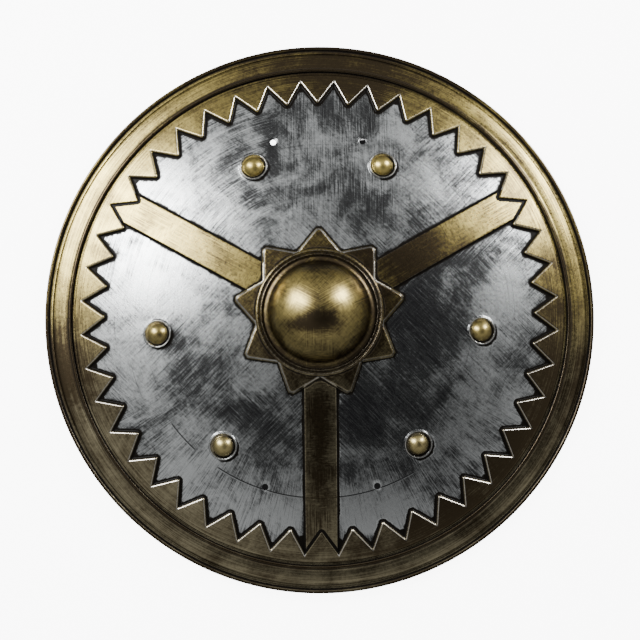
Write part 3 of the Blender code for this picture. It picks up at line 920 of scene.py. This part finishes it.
class Nodes:
    """Short calls that add shader nodes and join them. A value is a number, a colour or a node's output."""

    def __init__(self, tree):
        self.tree = tree

    def set(self, socket, value):
        """Gives a socket its value."""
        if isinstance(value, bpy.types.NodeSocket):
            self.tree.links.new(value, socket)
        else:
            socket.default_value = value

    def add(self, kind, inputs, **settings):
        """Adds a node with its inputs and settings."""
        node = self.tree.nodes.new(kind)
        for name, value in settings.items():
            setattr(node, name, value)
        for name, value in inputs.items():
            self.set(node.inputs[name], value)
        return node

    def math(self, operation, a, b=0.0):
        """One sum or other operation on two values."""
        return self.add("ShaderNodeMath", {0: a, 1: b}, operation=operation).outputs[0]

    def sum(self, *terms):
        """Adds values, each alone or as a pair with its weight."""
        total = 0.0
        for term in terms:
            value = self.math("MULTIPLY", *term) if isinstance(term, tuple) else term
            total = self.math("ADD", total, value)
        return total

    def product(self, *values):
        """Multiplies values."""
        total = values[0]
        for value in values[1:]:
            total = self.math("MULTIPLY", total, value)
        return total

    def attribute(self, name):
        """A value that the mesh carries."""
        return self.add("ShaderNodeAttribute", {}, attribute_name=name).outputs["Fac"]

    def smooth(self, value, low, high, to_low=0.0, to_high=1.0):
        """Eases from one value to another between two limits."""
        inputs = {"Value": value, "From Min": low, "From Max": high, "To Min": to_low, "To Max": to_high}
        return self.add("ShaderNodeMapRange", inputs, interpolation_type="SMOOTHSTEP").outputs[0]

    def window(self, value, low, high, soft):
        """One between two values and nothing outside them."""
        rising = self.smooth(value, low - soft, low + soft)
        return self.product(rising, self.smooth(value, high + soft, high - soft))

    def mix(self, factor, a, b):
        """From one number to another."""
        return self.add("ShaderNodeMix", {"Factor": factor, 2: a, 3: b}, data_type="FLOAT").outputs[0]

    def colour(self, factor, a, b):
        """From one colour to another."""
        return self.add("ShaderNodeMix", {0: factor, 6: a, 7: b}, data_type="RGBA").outputs[2]

    def noise(self, vector, scale=1.0, detail=3.0, roughness=0.55, distortion=0.0):
        """Soft noise, about a half on average."""
        inputs = {"Vector": vector, "Scale": scale, "Detail": detail}
        inputs.update({"Roughness": roughness, "Distortion": distortion})
        return self.add("ShaderNodeTexNoise", inputs).outputs["Fac"]

    def streaks(self, along, across, length, width, seed, bend=0.4):
        """Streaks that run along one coordinate, of a length and a width; the seed sets them apart."""
        lengths, widths = self.math("DIVIDE", along, length), self.math("DIVIDE", across, width)
        place = self.add("ShaderNodeCombineXYZ", {"X": lengths, "Y": widths, "Z": seed}).outputs[0]
        return self.noise(place, detail=3.0, roughness=0.6, distortion=bend)


def new_material(name):
    """A material and its shader."""
    material = bpy.data.materials.new(name)
    material.use_nodes = True
    return material, material.node_tree.nodes["Principled BSDF"]


class Places:
    """The coordinates that the front's paint follows, in metres, and its shared noises."""

    def __init__(self, n):
        self.point = n.add("ShaderNodeTexCoord", {}).outputs["Object"]
        split = n.add("ShaderNodeSeparateXYZ", {"Vector": self.point})
        self.x, self.y = split.outputs["X"], split.outputs["Y"]
        self.radius = n.math("SQRT", n.sum((self.x, self.x), (self.y, self.y)))
        self.turn = n.math("ARCTAN2", self.y, self.x)
        self.round = n.math("MULTIPLY", self.turn, 0.15)
        self.rising = n.product(n.math("ADD", self.x, self.y), math.sqrt(0.5))
        self.falling = n.product(n.math("SUBTRACT", self.x, self.y), math.sqrt(0.5))
        self.cloud = n.noise(self.point, scale=30.0, detail=5.0, roughness=0.62, distortion=0.6)
        self.broad = n.noise(self.point, scale=11.0, detail=2.0)
        self.mottle = n.noise(self.point, scale=420.0, detail=3.0, roughness=0.65)
        # How thin the paint is: partly its own patchiness and partly painted shade and painted light
        self.thin_and_painted_shade = n.attribute("thin_and_painted_shade")


def silver_strokes(n, at):
    """Brush strokes on the plate. They run upright near the top, round the boss at upper left, outwards
    near the lower teeth and crosswise elsewhere."""
    crossed = n.mix(
        n.smooth(at.broad, 0.44, 0.56),
        n.streaks(at.rising, at.falling, *CROSS_STROKE, 4.0, bend=0.9),
        n.streaks(at.falling, at.rising, *CROSS_STROKE, 5.0, bend=0.9),
    )
    outwards = n.streaks(at.radius, at.round, *OUTWARD_STROKE, 3.0, bend=0.2)
    upright = n.streaks(at.y, at.x, *UPRIGHT_STROKE, 1.0, bend=0.2)
    circling = n.streaks(at.round, at.radius, *CIRCLING_STROKE, 2.0, bend=0.9)
    lower = n.product(n.smooth(at.y, -0.05, -0.11), n.smooth(at.radius, 0.12, 0.16))
    beside_middle = n.smooth(n.math("ABSOLUTE", n.math("SUBTRACT", at.x, 0.02)), 0.075, 0.035)
    top = n.product(n.smooth(at.y, 0.06, 0.11), beside_middle)
    upper_left = n.product(n.smooth(at.x, -0.02, -0.06), n.smooth(at.y, 0.02, 0.05))
    strokes = n.mix(lower, crossed, outwards)
    strokes = n.mix(upper_left, strokes, circling)
    return n.mix(top, strokes, upright)


def mould_line(n, at):
    """The faint line that the mould left, part of a circle across the plate and the lowest band."""
    middle_y = n.math("SUBTRACT", at.y, 0.001)
    far = n.math("SQRT", n.sum((at.x, at.x), (middle_y, middle_y)))
    degrees = n.math("MULTIPLY", at.turn, 180.0 / math.pi)
    drawn = n.product(n.window(degrees, 36.0, 55.0, 0.6), 0.5)
    for start, end in MOULD_LINE_ARCS:
        drawn = n.math("MAXIMUM", drawn, n.window(degrees, start, end, 0.6))
    off = n.math("SUBTRACT", far, MOULD_LINE_RADIUS)
    dark = n.smooth(n.math("ABSOLUTE", off), 0.0008, 0.0002)
    light = n.smooth(n.math("ABSOLUTE", n.math("SUBTRACT", off, 0.0010)), 0.0007, 0.0001)
    return n.product(dark, drawn), n.product(light, drawn)


def silver_cover(n, at, strokes, silver):
    """How far the silver covers the black below it, less at the foot of the raised edges as a painted shade.
    """
    fine = n.streaks(at.falling, at.rising, *FINE_STROKE, 7.0)
    # Painted shade: the silver thins out towards the foot of each raised edge
    edge_shade = n.smooth(silver, 0.0, 0.004, 0.16, 0.0)
    tone = n.sum((at.broad, 0.5), (at.cloud, 1.3), (strokes, 1.1), (fine, 0.5), (at.mottle, 0.3))
    tone = n.sum(tone, (at.thin_and_painted_shade, -0.65), (edge_shade, -1.0))
    circling = n.streaks(at.round, at.radius, *CIRCLING_SCRATCH, 8.0, bend=0.8)
    outwards = n.streaks(at.radius, at.round, *OUTWARD_SCRATCH, 11.0, bend=0.2)
    scratches = n.mix(n.smooth(at.y, -0.06, -0.12), circling, outwards)
    hair = n.smooth(scratches, 0.58, 0.68)
    cover = n.smooth(tone, 1.51, 2.14)
    dry = n.product(n.smooth(n.sum((strokes, 0.7), (fine, 0.3), (at.thin_and_painted_shade, -0.06)), 0.47, 0.62), 0.45)
    cover = n.math("MAXIMUM", cover, dry)
    return n.product(cover, n.math("SUBTRACT", 1.0, n.product(hair, 0.6)))


def bronze_strokes(n, at):
    """Brush strokes in the bronze: round on the rim, lengthwise on the bands, crosswise elsewhere."""
    one_way = n.streaks(at.rising, at.falling, *BRONZE_CROSS_STROKE, 4.5)
    crossed = n.mix(0.5, one_way, n.streaks(at.falling, at.rising, *BRONZE_CROSS_STROKE, 5.5))
    on_rim = n.smooth(at.radius, TOOTH_TIP - 0.002, TOOTH_ROOT)
    on_rim_strokes = n.streaks(at.round, at.radius, *RIM_STROKE, 6.0, bend=0.2)
    along, across = n.attribute("band_along"), n.attribute("band_across")
    lengthwise = n.streaks(along, across, *BAND_STROKE, 9.0, bend=0.3)
    hatch = n.streaks(across, along, *BAND_HATCH, 10.0, bend=0.3)
    on_band = n.mix(n.smooth(at.cloud, 0.45, 0.60), lengthwise, hatch)
    strokes = n.mix(n.attribute("band"), crossed, on_band)
    return n.mix(on_rim, strokes, on_rim_strokes)


def front_paint():
    """Bronze and silver paint brushed over black, black wash in the recesses and bright worn lines, with
    painted shade, painted shadow and painted highlight where the marks carry them.
    """
    material, shader = new_material("painted_plastic")
    n = Nodes(material.node_tree)
    at = Places(n)
    silver, recess, crest = n.attribute("silver"), n.attribute("recess"), n.attribute("crest")
    uneven = n.math("SUBTRACT", at.mottle, 0.5)

    strokes = silver_strokes(n, at)
    cover = silver_cover(n, at, strokes, silver)
    dark_line, light_line = mould_line(n, at)
    cover = n.product(cover, n.math("SUBTRACT", 1.0, dark_line))
    cover = n.math("MAXIMUM", cover, n.product(light_line, 0.9))
    silver_colour = n.colour(cover, BLACK_BASE, SILVER)

    streaks = bronze_strokes(n, at)
    tone = n.sum((streaks, 0.9), (at.cloud, 0.8), (at.mottle, 0.3), (at.thin_and_painted_shade, -0.6))
    bronze_cover = n.product(n.smooth(tone, 0.68, 1.32), n.math("SUBTRACT", 1.0, n.product(dark_line, 0.6)))
    knob = n.attribute("knob")
    # Painted shade: the bronze turns darker olive towards the bottom, less on the studs and the dome
    shaded_olive_share = n.product(n.smooth(at.y, SHADED_OLIVE_FROM, SHADED_OLIVE_TO), n.sum(0.85, (knob, -0.45)))
    bronze = n.colour(shaded_olive_share, BRONZE, SHADED_OLIVE)
    bronze_colour = n.colour(bronze_cover, BROWN_BASE, bronze)

    on_plate = n.smooth(n.sum(silver, (uneven, 0.0016)), -0.0002, 0.0003)
    base = n.colour(on_plate, bronze_colour, silver_colour)
    wash = n.smooth(n.sum(recess, (uneven, 0.35)), 0.25, 0.60)
    # Worn bright lines, on the star partly a painted highlight
    worn_and_highlit = n.smooth(n.sum(crest, (uneven, 0.3)), 0.25, 0.85)
    base = n.colour(wash, base, WASH)
    base = n.colour(worn_and_highlit, base, LINE)

    rough = n.sum(ROUGHNESS, (uneven, 0.14), (knob, 0.06))
    height = n.sum((n.mix(on_plate, streaks, strokes), 1.0), (at.mottle, 0.4), (dark_line, -1.5))
    bump = n.add("ShaderNodeBump", {"Strength": BUMP_STRENGTH, "Distance": BUMP_HEIGHT, "Height": height})
    n.set(shader.inputs["Base Color"], base)
    painted = n.mix(on_plate, 1.0, n.smooth(cover, 0.0, 0.10))
    metal = n.product(painted, n.math("SUBTRACT", 1.0, wash))
    n.set(shader.inputs["Metallic"], n.math("MAXIMUM", metal, worn_and_highlit))
    n.set(shader.inputs["Specular IOR Level"], n.mix(wash, 0.5, 0.04))
    n.set(shader.inputs["Roughness"], rough)
    n.set(shader.inputs["Normal"], bump.outputs[0])
    return material


def back_plastic():
    """The bare black plastic behind, faintly grained and scuffed."""
    material, shader = new_material("black_plastic")
    n = Nodes(material.node_tree)
    place = n.add("ShaderNodeTexCoord", {}).outputs["Object"]
    grain = n.noise(place, scale=900.0, detail=2.0)
    scuff = n.noise(place, scale=24.0, detail=5.0, roughness=0.65)
    bump = n.add("ShaderNodeBump", {"Strength": 0.25, "Distance": 0.0002, "Height": grain})
    n.set(shader.inputs["Base Color"], n.colour(n.smooth(scuff, 0.45, 0.75), BLACK_PLASTIC, SCUFFED_PLASTIC))
    n.set(shader.inputs["Roughness"], n.smooth(scuff, 0.3, 0.7, 0.38, 0.55))
    n.set(shader.inputs["Normal"], bump.outputs[0])
    return material


def dressed():
    """The shield's piece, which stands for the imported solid."""
    shield = bpy.data.objects.new("shield", shield_mesh())
    bpy.context.scene.collection.objects.link(shield)
    shield.data.materials.append(front_paint())
    shield.data.materials.append(back_plastic())
    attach(shield, "root")
    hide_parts("shield_shell")
    return shield


def floor_below():
    """A plain white floor that shines by itself, as a light table does, except under the shield, where its
    dark part is a painted shadow.
    """
    bpy.ops.mesh.primitive_plane_add(size=FLOOR_SIZE, location=(0.0, 0.0, -FLOOR_DROP))
    floor = bpy.context.object
    floor.name = "floor"
    material, shader = new_material("floor")
    n = Nodes(material.node_tree)
    place = n.add("ShaderNodeTexCoord", {}).outputs["Object"]
    far = n.add("ShaderNodeVectorMath", {0: place, 1: SHADE_MIDDLE}, operation="DISTANCE").outputs["Value"]
    n.set(shader.inputs["Base Color"], (0.9, 0.9, 0.9, 1.0))
    n.set(shader.inputs["Roughness"], 0.9)
    n.set(shader.inputs["Emission Color"], (1.0, 1.0, 1.0, 1.0))
    shining = n.smooth(far, SHADE_RADIUS, SHADE_RADIUS + SHADE_SOFT, 0.0, FLOOR_LIGHT)
    n.set(shader.inputs["Emission Strength"], shining)
    floor.data.materials.append(material)
    floor.visible_glossy = False
    floor.visible_diffuse = False


def light(name, azimuth, elevation, width, height, power):
    """A soft light that faces the shield."""
    lamp = bpy.data.lights.new(name, "AREA")
    lamp.shape = "RECTANGLE"
    lamp.size = width
    lamp.size_y = height
    lamp.energy = power
    obj = bpy.data.objects.new(name, lamp)
    bpy.context.scene.collection.objects.link(obj)
    a, e = math.radians(azimuth), math.radians(elevation)
    place = Vector((math.cos(e) * math.cos(a), math.cos(e) * math.sin(a), math.sin(e))) * LIGHT_DISTANCE
    obj.location = place
    obj.rotation_euler = (-place).to_track_quat("-Z", "Y").to_euler()


def surroundings():
    """A dim room: dark just right of overhead, lightest round that, dim at the horizon."""
    world = bpy.data.worlds.new("studio")
    world.use_nodes = True
    n = Nodes(world.node_tree)
    way = n.add("ShaderNodeTexCoord", {}).outputs["Generated"]
    height = n.add("ShaderNodeSeparateXYZ", {"Vector": way}).outputs["Z"]
    near_dark = n.add("ShaderNodeVectorMath", {0: way, 1: DARKEST_WAY}, operation="DOT_PRODUCT")
    overhead = n.smooth(near_dark.outputs["Value"], 0.80, 0.975, ROOM_LIGHT, DARKEST_LIGHT)
    low = n.smooth(height, -0.1, 0.65, HORIZON_SHARE, 1.0)
    background = world.node_tree.nodes["Background"]
    n.set(background.inputs["Color"], (1.0, 1.0, 1.0, 1.0))
    n.set(background.inputs["Strength"], n.product(overhead, low))
    bpy.context.scene.world = world


def studio():
    """The surroundings, two soft lights and the camera at the photo's view."""
    surroundings()
    light("left_light", *LEFT_LIGHT)
    light("right_light", *RIGHT_LIGHT)

    camera = bpy.data.cameras.new("camera")
    camera.lens = CAMERA_LENS
    obj = bpy.data.objects.new("camera", camera)
    bpy.context.scene.collection.objects.link(obj)
    away = Vector((0.0, -math.sin(CAMERA_TILT), math.cos(CAMERA_TILT)))
    turn = away.to_track_quat("Z", "Y").to_matrix() @ Matrix.Rotation(CAMERA_ROLL, 3, "Z")
    obj.matrix_world = Matrix.Translation(Vector(CAMERA_AIM) + away * CAMERA_DISTANCE) @ turn.to_4x4()
    bpy.context.scene.camera = obj


dressed()
floor_below()
studio()
